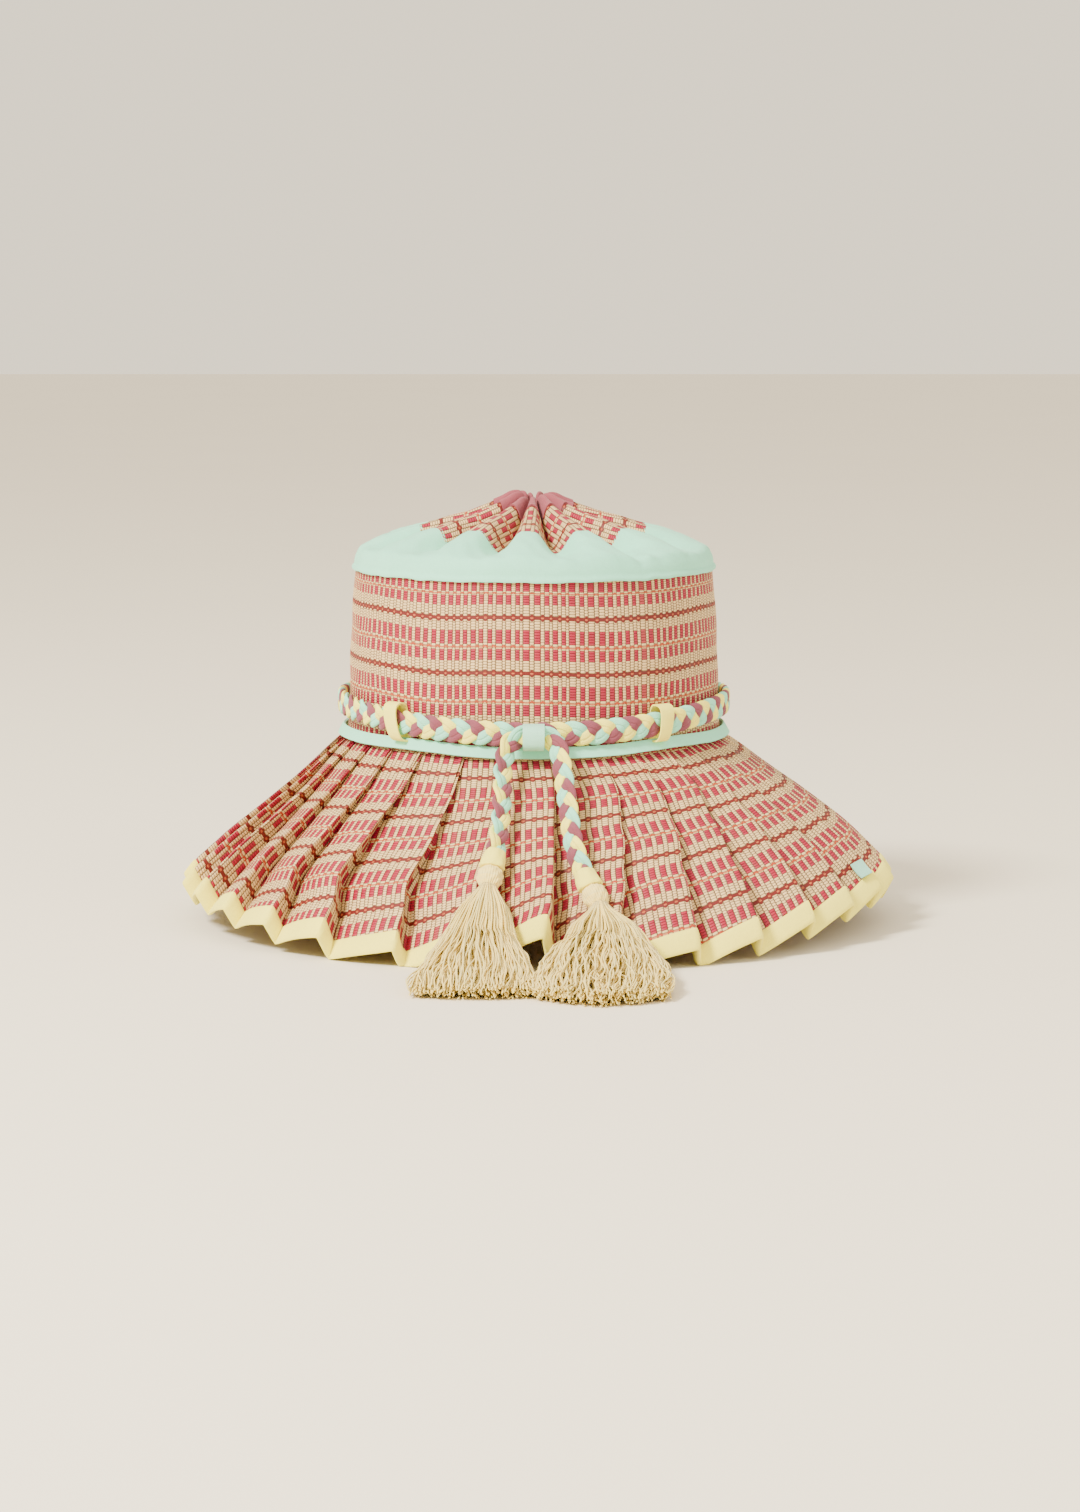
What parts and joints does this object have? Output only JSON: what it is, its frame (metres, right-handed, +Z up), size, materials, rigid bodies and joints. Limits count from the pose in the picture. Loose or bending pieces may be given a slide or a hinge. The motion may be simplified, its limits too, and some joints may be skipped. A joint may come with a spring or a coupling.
{
  "type": "pleated woven sun hat",
  "caption": "Woven straw sun hat with a soft crown, a wide knife-pleated brim with a bound zigzag edge, and a braided belt that ends in tassels.",
  "frame": {"origin": "on the surface that the hat rests on, in the middle of its outline", "axes": "+Z up, -Y towards the front, where the braided belt ends in its tassels, +X towards the viewer's right"},
  "size_m": [0.3635, 0.4661, 0.215],
  "materials": {
    "woven_straw": "hand-woven straw, cream with pink blocks and thin red and orange lines",
    "mint_cotton": "matte plain-weave cotton",
    "mauve_cotton": "matte plain-weave cotton",
    "yellow_cotton": "matte plain-weave cotton, folded and stitched",
    "braid": "three-strand flat braid of folded cotton in mint, mauve and yellow",
    "tassel_thread": "loose undyed cotton thread",
    "tag": "bare woven tape"
  },
  "bodies": {
    "root": {"crown_side": "woven_straw", "crown_top_band": "mint_cotton", "crown_tip": "woven_straw", "crown_centre": "mauve_cotton", "brim": "woven_straw", "brim_binding": "yellow_cotton", "base_tape": "mint_cotton", "braid_band": "braid", "belt_loop_1": "yellow_cotton", "belt_loop_2": "yellow_cotton", "belt_loop_3": "yellow_cotton", "belt_loop_4": "yellow_cotton", "front_slider": "mint_cotton", "braid_end_left": "braid", "braid_end_right": "braid", "tassel_cap_left": "yellow_cotton", "tassel_cap_right": "yellow_cotton", "tassel_left": "tassel_thread", "tassel_right": "tassel_thread", "brim_tag": "tag"}
  },
  "joints": []
}
